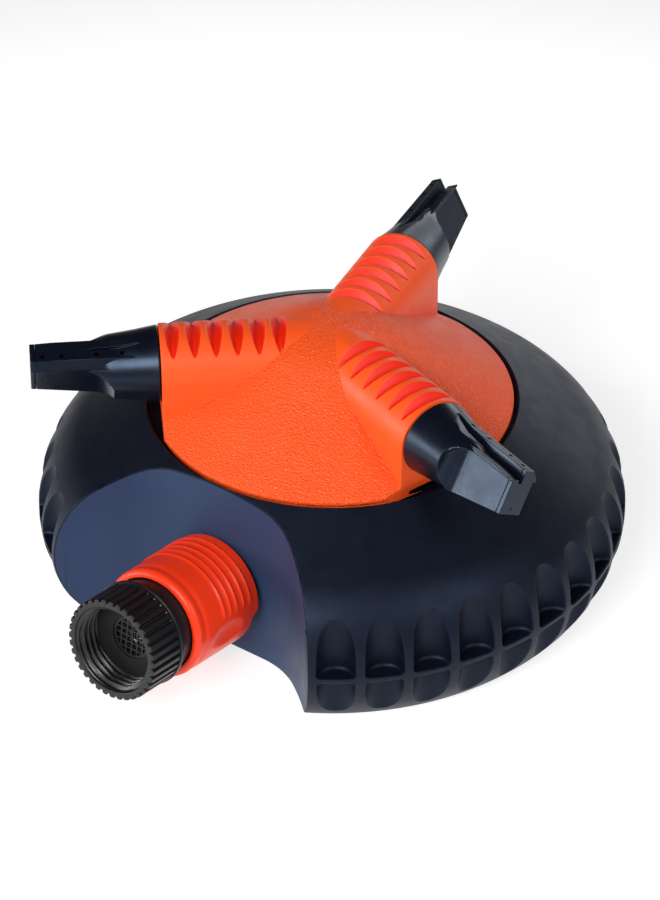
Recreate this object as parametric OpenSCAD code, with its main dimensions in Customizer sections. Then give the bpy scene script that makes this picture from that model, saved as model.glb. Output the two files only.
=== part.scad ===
// Three-arm rotating lawn sprinkler on a dome base, with a
// water-stop hose connector. Units are millimetres, +Z is up, and the
// origin is on the rotor axis at ground level. The inlet points along -Y.

/* [Base] */
// Radius of the rounded side of the dome, seen in section
belly_r = 28.7; // [28:0.1:30]
// Distance from the rotor axis to the centre of that rounding
belly_x = 61.7; // [61:0.1:63]
// Height of the widest line of the dome
belly_z = 20.9; // [20:0.1:22]
// Radius of the lip around the rotor
lip_r = 56.6; // [56.4:0.1:57]
// Height of the lip around the rotor
lip_z = 57.5; // [57:0.1:58]
// Wall thickness of the dome
shell_wall = 2.4; // [2:0.1:3]
// Inside radius of the dome's skirt
skirt_r = 79.4; // [78:0.1:80]

/* [Rim pockets] */
// Number of finger pockets around a full rim
pocket_count = 32; // [28:1:34]
// Angle between pockets
pocket_pitch = 9.2; // [9:0.1:9.6]
// Angle from the inlet to the first pocket on each side
pocket_first = 37.4; // [36:0.1:39]
// Radius of one scooped pocket
pocket_r = 5.9; // [5:0.1:6.2]
// Distance from the rotor axis to a pocket's centre
pocket_ring_r = 90.7; // [90:0.1:92]
// Height of the top face of the web that splits each pocket
web_z = 20; // [18:0.5:22]
// Thickness of that web
web_t = 1.8; // [1.2:0.1:2.4]

/* [Inlet] */
// Upward tilt of the inlet axis
inlet_tilt = 7.7; // [0:0.1:10]
// Height of the inlet axis where it meets the rotor axis
inlet_h = 13.6; // [13:0.1:16]
// Distance from the rotor axis to the back wall of the connector bay
bay_y = 56.5; // [55.5:0.1:57]

/* [Rotor] */
// Radius of the rotor disc
disc_r = 54.7; // [54:0.1:55]
// Height of the disc's upper edge
disc_z = 59.6; // [59.2:0.1:60]
// Slope of the cone, as rise over run
cone_rise = 0.6; // [0.55:0.01:0.62]
// Radius at which the cone turns into the domed crown
crown_r = 20; // [18:0.5:22]
// Height of the arm axes
arm_z = 73.3; // [73:0.1:74]
// Direction of the first arm, from +X
arm_first = 102; // [90:1:120]
// Outside radius of an arm socket
socket_r = 12.2; // [12:0.1:12.6]
// Distance from the rotor axis to a socket's end face
socket_l = 52.2; // [51:0.1:53]
// Spacing of the grip grooves on a socket
groove_pitch = 6.45; // [6:0.05:6.6]
// Number of grip grooves on a socket
groove_count = 6; // [3:1:6]

/* [Nozzles] */
// Distance from the rotor axis to a nozzle's tip
tip_l = 91.1; // [88:0.1:92]
// Lean of each nozzle about its own arm, as set for use
nozzle_lean = 26; // [0:1:40]
// Radius of the nozzle where it meets its socket
root_r = 11.8; // [11:0.1:12]
// Radius of the nozzle where its flat sides start
waist_r = 9.7; // [9:0.1:10]
// Width across a nozzle's flat sides
blade_w = 8.2; // [7:0.1:9]
// Width of the rail that holds the jets
rail_w = 3.4; // [3:0.1:4]
// Height of the rail's top above the arm axis
rail_z = 9.9; // [9.5:0.1:10.4]
// Radius of a jet hole
jet_r = 0.7; // [0.5:0.1:0.9]

/* [Connector] */
// Outside radius of the sliding collar
collar_r = 17.3; // [17:0.1:18]
// Distance along the inlet axis to the collar's far end
collar_from = 60.5; // [60:0.1:61]
// Distance along the inlet axis to the collar's near end
collar_to = 89.8; // [88:0.1:90]
// Minor radius of the hose thread
thread_minor_r = 12.25; // [12.2:0.01:12.3]
// Major radius of the hose thread
thread_major_r = 13.6; // [13.5:0.01:13.7]
// Distance along the inlet axis to the hose nut's mouth
nut_to = 109.2; // [109:0.1:110]
// Number of grip ribs on the hose nut
nut_rib_count = 36; // [24:1:40]

/* [Hidden] */
$fn = 128;
eps = 0.01;
arm_angles = [arm_first, arm_first + 120, arm_first + 240];

// Deck under the rotor
deck_z = 54;
deck_t = 2.5;
recess_r = 56;

// Bay wall, as a flat back that turns outwards through two arcs
bay_flat = 15.5;
bay_turn = [34, 48];
bay_arc = [26, 86];

// Riser and rotor bearing
riser_r = 9;
riser_bore = 6.5;
riser_body_r = 12.4;
shoulder_z = 56;
riser_top = 69;
run = 0.05;
screw_ring_r = 20;
lug_ring_r = 29;
hub_r = 13.5;
chamber_r = 11;
sleeve_top = 66;
chamber_top = 78.4;
cover_top = 80.6;
tube_r = 5;
tube_bore = 3.6;
tube_end = 63;
o_ring_l = 56.2;
groove_floor = 4;
bead_l = 59.6;

// Nozzle
root_l = socket_l + 0.3;
waist_l = 67.5;
scoop_l = 71.5;
scoop_r = 5;
cap_t = 1.6;
jet_l = [63.5, 71.2, 81.6, 87.4];
spigot_r = 7.92;

// Hexagon on the inlet nipple, across its corners
nipple_hex_r = 12.4;

// Black and orange plastics
dark = [0.07, 0.08, 0.11];
orange = [0.95, 0.3, 0.1];
rubber = [0.03, 0.03, 0.03];
steel = [0.75, 0.75, 0.77];

// ---- placing helpers ----

// Local +Z runs out along the inlet, from the rotor axis
module along_inlet() {
    translate([0, 0, inlet_h]) rotate([90 - inlet_tilt, 0, 0]) children();
}

// Local +Z runs out along an arm, and local +X points straight up
module along_arm(a) {
    translate([0, 0, arm_z]) rotate([0, 0, a]) rotate([0, 90, 0])
        rotate([0, 0, 180]) children();
}

// A ring of rectangular section from z0 to z1
module ring(r_in, r_out, z0, z1) {
    translate([0, 0, z0]) difference() {
        cylinder(r = r_out, h = z1 - z0);
        translate([0, 0, -1]) cylinder(r = r_in, h = z1 - z0 + 2);
    }
}

// A plain round bar from z0 to z1
module bar(r, z0, z1) {
    translate([0, 0, z0]) cylinder(r = r, h = z1 - z0);
}

// A round ring of circular section
module torus(r_mid, r_wire, z) {
    translate([0, 0, z]) rotate_extrude()
        translate([r_mid, 0]) circle(r = r_wire, $fn = 32);
}

// ---- base ----

// Half section of the dome, solid to the rotor axis
module dome_section(inset) {
    steps = 14;
    r = belly_r - inset;
    from = -asin(belly_z / r);
    to = 60;
    side = [for (k = [0:steps]) let (a = from + (to - from) * k / steps)
        [belly_x + r * cos(a), belly_z + r * sin(a)]];
    top = [lip_r - inset / 2, lip_z - inset];
    polygon(concat([[0, 0]], side, [top, [0, top[1]]]));
}

// Points of one side of the bay wall, moved into the base by t
function bay_side(t, steps = 10) = concat(
    [[0, -bay_y + t]],
    [for (k = [0:steps]) let (f = bay_turn[0] * k / steps, r = bay_arc[0] + t)
        [bay_flat + r * sin(f), -bay_y - bay_arc[0] + r * cos(f)]],
    [for (k = [1:steps])
        let (f = bay_turn[0] + (bay_turn[1] - bay_turn[0]) * k / steps,
             r = bay_arc[1] + t,
             shift = bay_arc[0] - bay_arc[1])
        [bay_flat + shift * sin(bay_turn[0]) + r * sin(f),
         -bay_y - bay_arc[0] + shift * cos(bay_turn[0]) + r * cos(f)]]);

// Plan of the bay, from its wall out past the rim
module bay_plan(t) {
    side = bay_side(t);
    last = side[len(side) - 1];
    reach = 40;
    far = last + reach * [cos(bay_turn[1]), -sin(bay_turn[1])];
    right = concat(side, [far, [far[0], -140]]);
    left = [for (k = [len(right) - 1:-1:1]) [-right[k][0], right[k][1]]];
    polygon(concat(right, left));
}

module pockets() {
    per_side = pocket_count / 2;
    for (side = [-1, 1], k = [0:per_side - 1])
        rotate([0, 0, -90 + side * (pocket_first + k * pocket_pitch)])
            translate([pocket_ring_r, 0, 0]) {
                translate([0, 0, web_z]) cylinder(r = pocket_r, h = 40);
                translate([0, 0, -1]) cylinder(r = pocket_r, h = web_z - web_t + 1);
            }
}

// The four places where the manifold is screwed on
module at_screws() {
    for (a = [45:90:315]) rotate([0, 0, a])
        translate([screw_ring_r, 0, 0]) children();
}

// Hollow under the dome, run out past the ground by drop
module dome_hollow() {
    drop = 0.5;
    translate([0, 0, -drop]) difference() {
        intersection() {
            rotate_extrude() dome_section(shell_wall);
            bar(skirt_r, -1, deck_z - deck_t + drop);
        }
        translate([0, 0, -2]) linear_extrude(height = 80) bay_plan(shell_wall);
    }
}

module base_shell() {
    color(dark) difference() {
        union() {
            difference() {
                rotate_extrude() dome_section(0);
                pockets();
                dome_hollow();
                bar(recess_r, deck_z, 80);
                translate([0, 0, lip_z - 1.3])
                    cylinder(r1 = recess_r - 0.2, r2 = recess_r + 1.8, h = 2);
            }
            at_screws() bar(3.6, deck_z - 1, deck_z + 4);
        }
        translate([0, 0, -1]) linear_extrude(height = 80) bay_plan(0);
        bar(riser_body_r + 0.1, 40, 80);
        at_screws() bar(1.5, 40, deck_z + 3);
        along_inlet() bar(10.8, 40, 60);
        // Seat for the nipple's hexagon
        along_inlet() bar(nipple_hex_r + 0.4, 56.6, 66);
    }
}

module water_manifold() {
    flange_r = 26;
    flange_t = 3.2;
    flange_top = deck_z - deck_t;
    color(dark) difference() {
        union() {
            bar(riser_body_r, 3, shoulder_z);
            bar(riser_r, shoulder_z - 1, riser_top);
            bar(flange_r, flange_top - flange_t, flange_top);
            along_inlet() bar(10.5, 0, 57);
            // Gussets between the riser and its flange
            for (a = [0:90:270]) rotate([0, 0, a])
                translate([0, -1, 40]) cube([17, 2, flange_top - 41]);
        }
        bar(riser_bore, 6, riser_top + 1);
        along_inlet() bar(6.5, 0, 60);
        along_inlet() bar(9, 45, 60);
        // Groove for the clip that keeps the rotor on
        ring(8.2, 12, 67.2, 68.4);
        for (a = [45:90:315]) rotate([0, 0, a])
            translate([screw_ring_r, 0, 0]) bar(1.6, 40, 60);
    }
}

module manifold_screws() {
    head_top = deck_z - deck_t - 3.2;
    color(steel) for (a = [45:90:315]) rotate([0, 0, a])
        translate([screw_ring_r, 0, 0]) difference() {
            union() {
                bar(1.45, head_top - 1, deck_z + 2.5);
                bar(2.9, head_top - 1.8, head_top);
            }
            translate([-2, -0.3, head_top - 2]) cube([4, 0.6, 0.9]);
            translate([-0.3, -2, head_top - 2]) cube([0.6, 4, 0.9]);
        }
}

module inlet_washer() {
    color(rubber) along_inlet() ring(6.6, 8.9, 45.1, 46.3);
}

module inlet_nipple() {
    color(dark) along_inlet() difference() {
        union() {
            bar(8.95, 46.4, 57);
            translate([0, 0, 57]) cylinder(r = nipple_hex_r, h = 2.6, $fn = 6);
            bar(7, 59, 67);
            bar(8.55, 66.2, 69);
            bar(7.6, 68, 76);
            bar(8.3, 75, 79.6);
        }
        bar(5, 40, 90);
        ring(6.4, 12, 76, 78.4);
    }
}

module nipple_o_ring() {
    color(rubber) along_inlet() torus(7.5, 1.08, 77.2);
}

module lower_thrust_washer() {
    color("ivory") ring(riser_r + 0.1, 12.2, shoulder_z + 0.05, shoulder_z + 1);
}

module upper_thrust_washer() {
    color("ivory") ring(riser_r + 0.1, chamber_r - 0.3, sleeve_top + 0.1, 67);
}

module riser_clip() {
    color(steel) difference() {
        ring(8.25, 10.5, 67.3, 68.3);
        translate([4, -3, 60]) cube([20, 6, 20]);
    }
}

// ---- rotor ----

function crown_angle() = atan(cone_rise);
function crown_radius(inset) = crown_r / sin(crown_angle()) - inset;
function crown_centre() = disc_z + (disc_r - crown_r) * cone_rise
    - crown_r / tan(crown_angle());

// Half section of the cone and its domed crown, solid to the rotor axis
module cap_section(inset) {
    edge_r = disc_r - inset;
    drop = inset / cos(crown_angle());
    edge_z = disc_z + (disc_r - edge_r) * cone_rise - drop;
    r = crown_radius(inset);
    join_r = r * sin(crown_angle());
    join_z = crown_centre() + r * cos(crown_angle());
    intersection() {
        translate([0, crown_centre()]) circle(r = r, $fn = 128);
        translate([0, join_z]) square([r, r]);
    }
    polygon([[0, 40], [edge_r, 40], [edge_r, edge_z],
             [join_r, join_z], [0, join_z]]);
}

module socket_outside() {
    bar(socket_r, 0, socket_l);
    translate([-40, -socket_r, 0]) cube([40, 2 * socket_r, socket_l]);
}

// One crescent groove across the crown of a socket
module grip_groove() {
    depth = 2.75;
    half_w = 2.4;
    floor_r = 26.35;
    over = 1;
    reach = depth + over;
    mouth = half_w * reach / depth;
    intersection() {
        translate([socket_r - depth - floor_r, 0, 0]) rotate_extrude()
            polygon([[floor_r, 0], [floor_r + reach, -mouth], [floor_r + reach, mouth]]);
        translate([5, -socket_r - 1, -mouth - 1])
            cube([10, 2 * socket_r + 2, 2 * mouth + 2]);
    }
}

// The three places where the cap is screwed to the hub
module at_lugs() {
    for (a = arm_angles) rotate([0, 0, a - 60])
        translate([lug_ring_r, 0, 0]) children();
}

module rotor_cap() {
    wall = 2.2;
    bearing_l = 44;
    cavity_from = 17;
    cavity_r = 7.9;
    slot_w = 14;
    floor_z = 55.2;
    color(orange) difference() {
        union() {
            rotate_extrude() cap_section(0);
            intersection() {
                for (a = arm_angles) along_arm(a) socket_outside();
                bar(disc_r, floor_z, 100);
            }
        }
        rotate_extrude() cap_section(wall);
        bar(100, 0, floor_z);
        for (a = arm_angles) along_arm(a) {
            bar(cavity_r, cavity_from, bearing_l + 1);
            bar(8, bearing_l, 60);
            translate([-40, -slot_w / 2, cavity_from])
                cube([40, slot_w, bearing_l - cavity_from - 20]);
            for (k = [0:groove_count - 1])
                translate([0, 0, 48.4 - k * groove_pitch]) grip_groove();
        }
    }
    // Bosses for the cap screws
    color(orange) difference() {
        intersection() {
            rotate_extrude() cap_section(wall / 2);
            at_lugs() bar(3.8, 65.1, 90);
        }
        at_lugs() bar(1.5, 60, 70.8);
    }
}

module rotor_hub() {
    color(dark) difference() {
        union() {
            bar(hub_r, shoulder_z + 1.1, chamber_top);
            for (a = arm_angles) along_arm(a) {
                bar(tube_r, 5, tube_end);
                bar(tube_r + 0.55, bead_l, bead_l + 1.6);
            }
            for (a = arm_angles) rotate([0, 0, a - 60])
                translate([10, -4, 62]) cube([lug_ring_r - 10, 8, 3]);
            at_lugs() bar(4, 62, 65);
        }
        bar(riser_r + 0.3, 50, 70);
        bar(chamber_r, sleeve_top, 90);
        bar(11.5, 50, 61);
        bar(10.5, 60, sleeve_top - 0.8);
        for (a = arm_angles) along_arm(a) {
            bar(tube_bore, 5, 70);
            ring(groove_floor, tube_r + 1, o_ring_l - 0.7, o_ring_l + 0.7);
        }
        at_lugs() bar(1.6, 50, 70);
    }
}

module hub_cover() {
    color(dark) {
        bar(hub_r, chamber_top, cover_top);
        bar(chamber_r - 0.1, chamber_top - 0.4, chamber_top + 1);
    }
}

module hub_bush() {
    color("ivory") ring(riser_r + run, 10.45, 61.05, sleeve_top - 0.85);
}

module rotary_seal() {
    color(rubber) difference() {
        ring(riser_r + run, 11.45, 57.4, 60.9);
        ring(9.8, 10.7, 57, 59.4);
    }
}

module cap_screws() {
    color(steel) at_lugs() difference() {
        union() {
            bar(1.45, 61, 70.5);
            bar(2.8, 60.2, 62);
        }
        translate([-2, -0.3, 60]) cube([4, 0.6, 0.9]);
        translate([-0.3, -2, 60]) cube([0.6, 4, 0.9]);
    }
}

module arm_o_rings() {
    wire_r = 0.48;
    color(rubber) for (a = arm_angles) along_arm(a)
        torus(groove_floor + wire_r + eps, wire_r, o_ring_l);
}

// ---- nozzles: local +X is the rail side, local +Z points outwards ----

// Extrudes an outline drawn as [height, distance along the arm] sideways, from y0 to y1
module sideways(y0, y1) {
    translate([0, y1, 0]) rotate([90, 0, 0]) linear_extrude(height = y1 - y0) children();
}

// Plan of the scoop that flattens one side, drawn as [distance along the arm, sideways]
module scoop_plan() {
    flat = blade_w / 2;
    steps = 8;
    bend = [for (k = [0:steps]) let (a = 90 * k / steps)
        [scoop_l - scoop_r * sin(a), flat + scoop_r * (1 - cos(a))]];
    polygon(concat([[tip_l + 5, flat]], bend,
                   [[scoop_l - scoop_r, 20], [tip_l + 5, 20]]));
}

module nozzle_outside() {
    core_w = blade_w + 2;
    shoulder_mid = [8.8, 65];
    shoulder_tip = [6.6, tip_l + 1];
    difference() {
        union() {
            translate([0, 0, root_l])
                cylinder(r1 = root_r, r2 = waist_r, h = waist_l - root_l);
            translate([0, 0, waist_l - eps])
                cylinder(r1 = waist_r, r2 = 8.4, h = 8);
            sideways(-core_w / 2, core_w / 2)
                polygon([[rail_z, 62], [rail_z, tip_l], [-4.5, tip_l],
                         [-9.6, waist_l - 1], [-9.6, 62]]);
        }
        // Scoops that flatten both sides
        for (s = [0, 1]) mirror([0, s, 0])
            rotate([0, -90, 0]) translate([0, 0, -20])
                linear_extrude(height = 40) scoop_plan();
        // Steps that leave the rail standing
        for (s = [0, 1]) mirror([0, s, 0]) sideways(rail_w / 2, 20)
            polygon([[root_r - 0.2, 56], shoulder_mid, shoulder_tip,
                     [30, tip_l + 1], [30, 56]]);
    }
}

module nozzle() {
    difference() {
        union() {
            difference() {
                nozzle_outside();
                bar(30, tip_l - cap_t, 120);
            }
            bar(spigot_r, 46, root_l + 1);
            // Locating tab under the root
            translate([-root_r - 0.4, -1.5, root_l + 0.4]) cube([3, 3, 1.8]);
        }
        bar(tube_r + run, 40, 63.5);
        bar(tube_r + 0.65, bead_l - 0.1, bead_l + 1.7);
        bar(3.2, 60, tip_l - cap_t + 1);
        for (l = jet_l) translate([0, 0, l]) rotate([0, 90, 0])
            cylinder(r = jet_r, h = 20, $fn = 24);
    }
}

module nozzle_cap() {
    intersection() {
        nozzle_outside();
        bar(30, tip_l - cap_t + 0.02, tip_l + 1);
    }
    bar(3.15, tip_l - cap_t - 1, tip_l - 0.5);
}

module place_nozzle(n) {
    color(dark) along_arm(arm_angles[n]) rotate([0, 0, -nozzle_lean]) children();
}

module nozzle_1() { place_nozzle(0) nozzle(); }
module nozzle_2() { place_nozzle(1) nozzle(); }
module nozzle_3() { place_nozzle(2) nozzle(); }
module nozzle_cap_1() { place_nozzle(0) nozzle_cap(); }
module nozzle_cap_2() { place_nozzle(1) nozzle_cap(); }
module nozzle_cap_3() { place_nozzle(2) nozzle_cap(); }

// ---- connector: local +Z runs out along the inlet ----

module connector_body() {
    color(dark) along_inlet() difference() {
        union() {
            bar(14, 61, 84);
            bar(15.5, 82, 84.5);
            bar(14.6, 84, 95);
        }
        bar(8.62, 60, 80.5);
        bar(4.6, 80, 90);
        bar(8.2, 84.5, 91);
        bar(9.3, 90, 96);
        // Windows for the claws
        for (a = [45:90:315]) rotate([0, 0, a])
            translate([0, -3.6, 62.2]) cube([20, 7.2, 3.8]);
    }
}

module lock_claws() {
    color("ivory") along_inlet() for (a = [45:90:315]) rotate([0, 0, a])
        intersection() {
            ring(7.3, 13.8, 62.4, 65.8);
            translate([0, -3.4, 60]) cube([20, 6.8, 10]);
        }
}

module tail_piece() {
    color(dark) along_inlet() difference() {
        union() {
            bar(9.25, 90.1, 95);
            bar(9.95, 95, 97.2);
            bar(12.3, 97, 98);
        }
        bar(6.5, 80, 96.2);
        bar(4.4, 80, 100);
    }
}

module stop_plunger() {
    color("ivory") along_inlet() {
        bar(3.1, 79.9, 92);
        bar(6.3, 87, 88.2);
        for (a = [0:120:240]) rotate([0, 0, a])
            translate([0, -0.7, 79.9]) cube([6.8, 1.4, 0.5]);
    }
}

module plunger_o_ring() {
    color(rubber) along_inlet() torus(5.2, 0.7, 86.3);
}

// A coil spring of round wire between z0 and z1, as stacked rings
module plunger_spring() {
    wire = 0.5;
    coils = 7;
    color(steel) along_inlet() for (k = [0:coils - 1])
        torus(5.6, wire / 2, 88.5 + k * 1.1);
}

module collar() {
    bore_land = 14.08;
    inner_r = 15.6;
    ridge_from = 64.6;
    ridge_pitch = 3.1;
    color(orange) along_inlet() difference() {
        union() {
            bar(collar_r, collar_from, collar_to);
            // Raised grip rings over the upper side
            for (k = [0:4]) intersection() {
                torus(collar_r - 0.25, 0.7, ridge_from + k * ridge_pitch);
                translate([-30, 3, 0]) cube([60, 30, 100]);
            }
        }
        bar(bore_land, 50, 100);
        bar(inner_r, 66, 100);
        // Rounded near rim
        translate([0, 0, collar_to - 2]) difference() {
            ring(collar_r - 2, 20, 0, 3);
            torus(collar_r - 2, 2, 0);
            bar(collar_r - 2 + eps, -1, 4);
        }
        // Thumb recesses on both sides
        for (s = [-1, 1])
            translate([s * (collar_r + 14.3), -2.2, 75])
                sphere(r = 15.6, $fn = 64);
        // The lower half is cut shorter at the far end
        translate([-30, -40, 50]) cube([60, 40 - 1.5, 13]);
    }
}

module collar_spring() {
    wire = 1.0;
    coils = 9;
    color(steel) along_inlet() for (k = [0:coils - 1])
        torus(14.8, wire / 2, 66.6 + k * 1.85);
}

module hose_nut() {
    wall_from = 95.3;
    rib_r = 1;
    body_r = 15.2;
    color(dark) along_inlet() difference() {
        union() {
            bar(16.5, wall_from, wall_from + 1.3);
            bar(body_r, wall_from, nut_to);
            for (k = [0:nut_rib_count - 1])
                rotate([0, 0, k * 360 / nut_rib_count])
                    translate([body_r - 0.1, 0, wall_from])
                        cylinder(r = rib_r, h = nut_to - wall_from, $fn = 24);
        }
        bar(10.05, 90, 120);
        bar(12.7, wall_from + 1.5, 100);
        bar(thread_minor_r, 99, 120);
        translate([0, 0, nut_to - 1.35])
            cylinder(r1 = thread_minor_r, r2 = thread_major_r, h = 1.35);
        bar(thread_major_r, nut_to, 120);
    }
}

module hose_washer() {
    color(rubber) along_inlet() ring(6.8, 12.6, 98.1, 99.8);
}

module inlet_filter() {
    bar_w = 0.5;
    color(steel) along_inlet() {
        ring(5.9, 6.7, 98.6, 99.4);
        intersection() {
            bar(6, 98.7, 99.3);
            union() {
                for (k = [-4:2:4]) translate([k - bar_w / 2, -7, 98]) cube([bar_w, 14, 2]);
                for (k = [-4:2:4]) translate([-7, k - bar_w / 2, 98]) cube([14, bar_w, 2]);
            }
        }
    }
}

base_shell();
water_manifold();
manifold_screws();
inlet_washer();
inlet_nipple();
nipple_o_ring();
lower_thrust_washer();
upper_thrust_washer();
riser_clip();
rotor_cap();
rotor_hub();
hub_cover();
hub_bush();
rotary_seal();
cap_screws();
arm_o_rings();
nozzle_1();
nozzle_2();
nozzle_3();
nozzle_cap_1();
nozzle_cap_2();
nozzle_cap_3();
connector_body();
lock_claws();
tail_piece();
stop_plunger();
plunger_o_ring();
plunger_spring();
collar();
collar_spring();
hose_nut();
hose_washer();
inlet_filter();
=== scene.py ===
import math

import bmesh
import bpy
import numpy as np
from mathutils import Matrix, Vector


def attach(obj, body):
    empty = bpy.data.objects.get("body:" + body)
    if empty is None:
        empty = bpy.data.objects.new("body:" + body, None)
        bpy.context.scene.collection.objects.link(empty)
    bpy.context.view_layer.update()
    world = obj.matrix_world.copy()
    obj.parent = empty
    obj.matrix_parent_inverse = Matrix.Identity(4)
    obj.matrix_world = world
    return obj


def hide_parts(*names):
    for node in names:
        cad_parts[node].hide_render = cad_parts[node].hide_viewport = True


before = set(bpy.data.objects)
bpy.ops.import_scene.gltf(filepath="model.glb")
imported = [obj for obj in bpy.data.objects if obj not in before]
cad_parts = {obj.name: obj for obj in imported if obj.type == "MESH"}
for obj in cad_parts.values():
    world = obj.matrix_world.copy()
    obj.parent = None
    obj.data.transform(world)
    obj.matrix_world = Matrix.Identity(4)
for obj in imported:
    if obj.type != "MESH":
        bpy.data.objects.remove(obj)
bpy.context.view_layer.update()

# ---- driving values, in metres and degrees ----

MM = 0.001

# Camera: the direction and distance it looks from, and the point it looks at
CAMERA_AZIMUTH = 36.7
CAMERA_ELEVATION = 36
CAMERA_DISTANCE = 1.405
CAMERA_TARGET = Vector((-0.0129, 0.0162, 0.0225))
CAMERA_LENS = 180


# ---- materials ----

def new_material(name, colour, roughness, **sockets):
    """A Principled material, with any further sockets named by keyword."""
    material = bpy.data.materials.new(name)
    material.use_nodes = True
    shader = material.node_tree.nodes["Principled BSDF"]
    shader.inputs["Base Color"].default_value = (*colour, 1)
    shader.inputs["Roughness"].default_value = roughness
    for socket, value in sockets.items():
        shader.inputs[socket.replace("_", " ")].default_value = value
    return material


def add_node(material, kind, **values):
    """A node of that kind, with its input sockets set by keyword."""
    node = material.node_tree.nodes.new("ShaderNode" + kind)
    for socket, value in values.items():
        node.inputs[socket.replace("_", " ")].default_value = value
    return node


def link(material, source, target):
    material.node_tree.links.new(source, target)


def shader_of(material):
    return material.node_tree.nodes["Principled BSDF"]


def object_place(material):
    return add_node(material, "TexCoord").outputs["Object"]


def noise(material, size, detail=3):
    """Noise whose blobs are about size metres across."""
    node = add_node(material, "TexNoise", Scale=1 / size, Detail=detail)
    link(material, object_place(material), node.inputs["Vector"])
    return node.outputs["Fac"]


def remap(material, value, low, high, to_low, to_high):
    node = material.node_tree.nodes.new("ShaderNodeMapRange")
    for name, number in zip(("From Min", "From Max", "To Min", "To Max"), (low, high, to_low, to_high)):
        node.inputs[name].default_value = number
    link(material, value, node.inputs["Value"])
    return node.outputs["Result"]


def mix_colour(material, factor, first, second):
    node = material.node_tree.nodes.new("ShaderNodeMix")
    node.data_type = "RGBA"
    link(material, factor, node.inputs["Factor"])
    node.inputs["A"].default_value = (*first, 1)
    node.inputs["B"].default_value = (*second, 1)
    return node.outputs["Result"]


def bump(material, height, depth, over=None):
    """Raises the surface by height times depth metres, over an earlier bump if given."""
    node = add_node(material, "Bump", Strength=1.0, Distance=depth)
    link(material, height, node.inputs["Height"])
    if over:
        link(material, over, node.inputs["Normal"])
    return node.outputs["Normal"]


def moulded_plastic(name, colour, worn, roughness, grain, depth, **sockets):
    """Injection-moulded plastic: fine spark-eroded grain, with slow changes in colour and gloss."""
    material = new_material(name, colour, roughness, **sockets)
    shader = shader_of(material)
    cloud = noise(material, 14 * MM)
    link(material, mix_colour(material, cloud, colour, worn), shader.inputs["Base Color"])
    link(material, remap(material, noise(material, 6 * MM), 0.3, 0.7, roughness - 0.04, roughness + 0.05),
         shader.inputs["Roughness"])
    link(material, bump(material, noise(material, grain, 2), depth), shader.inputs["Normal"])
    return material


COLD_SHEEN = {"Specular_IOR_Level": 0.5, "Specular_Tint": (0.5, 0.7, 1.0, 1)}
DEEP_SHEEN = {"Specular_IOR_Level": 0.34, "Specular_Tint": (0.45, 0.62, 1.0, 1)}

finishes = {
    "dome_plastic": moulded_plastic(
        "dome_plastic", (0.0020, 0.0026, 0.0065), (0.0028, 0.0034, 0.0080), 0.48, 0.5 * MM, 0.05 * MM,
        **DEEP_SHEEN),
    "nozzle_plastic": moulded_plastic(
        "nozzle_plastic", (0.003, 0.004, 0.009), (0.004, 0.005, 0.011), 0.3, 0.3 * MM, 0.02 * MM,
        **COLD_SHEEN),
    "connector_plastic": moulded_plastic(
        "connector_plastic", (0.006, 0.006, 0.007), (0.008, 0.008, 0.0095), 0.36, 0.3 * MM, 0.02 * MM),
    "rotor_orange": moulded_plastic(
        "rotor_orange", (0.92, 0.085, 0.011), (0.97, 0.105, 0.016), 0.42, 0.4 * MM, 0.02 * MM,
        Specular_IOR_Level=0.3),
    "collar_orange": moulded_plastic(
        "collar_orange", (0.88, 0.036, 0.005), (0.92, 0.044, 0.007), 0.36, 0.3 * MM, 0.01 * MM,
        Specular_IOR_Level=0.35),
    "acetal": moulded_plastic(
        "acetal", (0.75, 0.72, 0.62), (0.8, 0.77, 0.68), 0.35, 0.3 * MM, 0.01 * MM),
    "seal_rubber": moulded_plastic(
        "seal_rubber", (0.006, 0.006, 0.006), (0.009, 0.009, 0.009), 0.6, 0.2 * MM, 0.02 * MM,
        Specular_IOR_Level=0.3),
    "stainless": new_material("stainless", (0.62, 0.62, 0.64), 0.28, Metallic=1.0),
}


def emboss_leather_and_shade_grooves(material):
    """Leather grain where the mesh's face tag is 1, and painted shade, a deeper red, on the grooves where
    it is -1.
    """
    grain_and_painted_light = add_node(material, "Attribute")
    grain_and_painted_light.attribute_name = "grain_and_painted_light"
    warp = add_node(material, "TexNoise", Scale=1 / (2.2 * MM), Detail=2)
    link(material, object_place(material), warp.inputs["Vector"])
    place = add_node(material, "VectorMath")
    place.operation = "MULTIPLY_ADD"
    link(material, warp.outputs["Color"], place.inputs[0])
    place.inputs[1].default_value = (1.6 * MM, 1.6 * MM, 1.6 * MM)
    link(material, object_place(material), place.inputs[2])
    cells = add_node(material, "TexVoronoi", Scale=1 / (1.1 * MM))
    cells.feature = "DISTANCE_TO_EDGE"
    link(material, place.outputs["Vector"], cells.inputs["Vector"])
    pillow = remap(material, cells.outputs["Distance"], 0.0, 0.32, 0.0, 1.0)
    on_cone = remap(material, grain_and_painted_light.outputs["Fac"], 0, 1, 0, 1)
    in_groove = remap(material, grain_and_painted_light.outputs["Fac"], 0, -1, 0, 1)
    grain = add_node(material, "Math")
    grain.operation = "MULTIPLY"
    link(material, pillow, grain.inputs[0])
    link(material, on_cone, grain.inputs[1])
    shader = shader_of(material)
    earlier = shader.inputs["Normal"].links[0].from_socket
    link(material, bump(material, grain.outputs["Value"], 0.17 * MM, over=earlier), shader.inputs["Normal"])
    smooth = shader.inputs["Base Color"].links[0].from_socket
    # painted shade: the grooves' faces are coloured a deeper red
    groove_shade = material.node_tree.nodes.new("ShaderNodeMix")
    groove_shade.data_type = "RGBA"
    link(material, in_groove, groove_shade.inputs["Factor"])
    link(material, smooth, groove_shade.inputs["A"])
    groove_shade.inputs["B"].default_value = (0.88, 0.022, 0.004, 1)
    link(material, groove_shade.outputs["Result"], shader.inputs["Base Color"])


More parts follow.
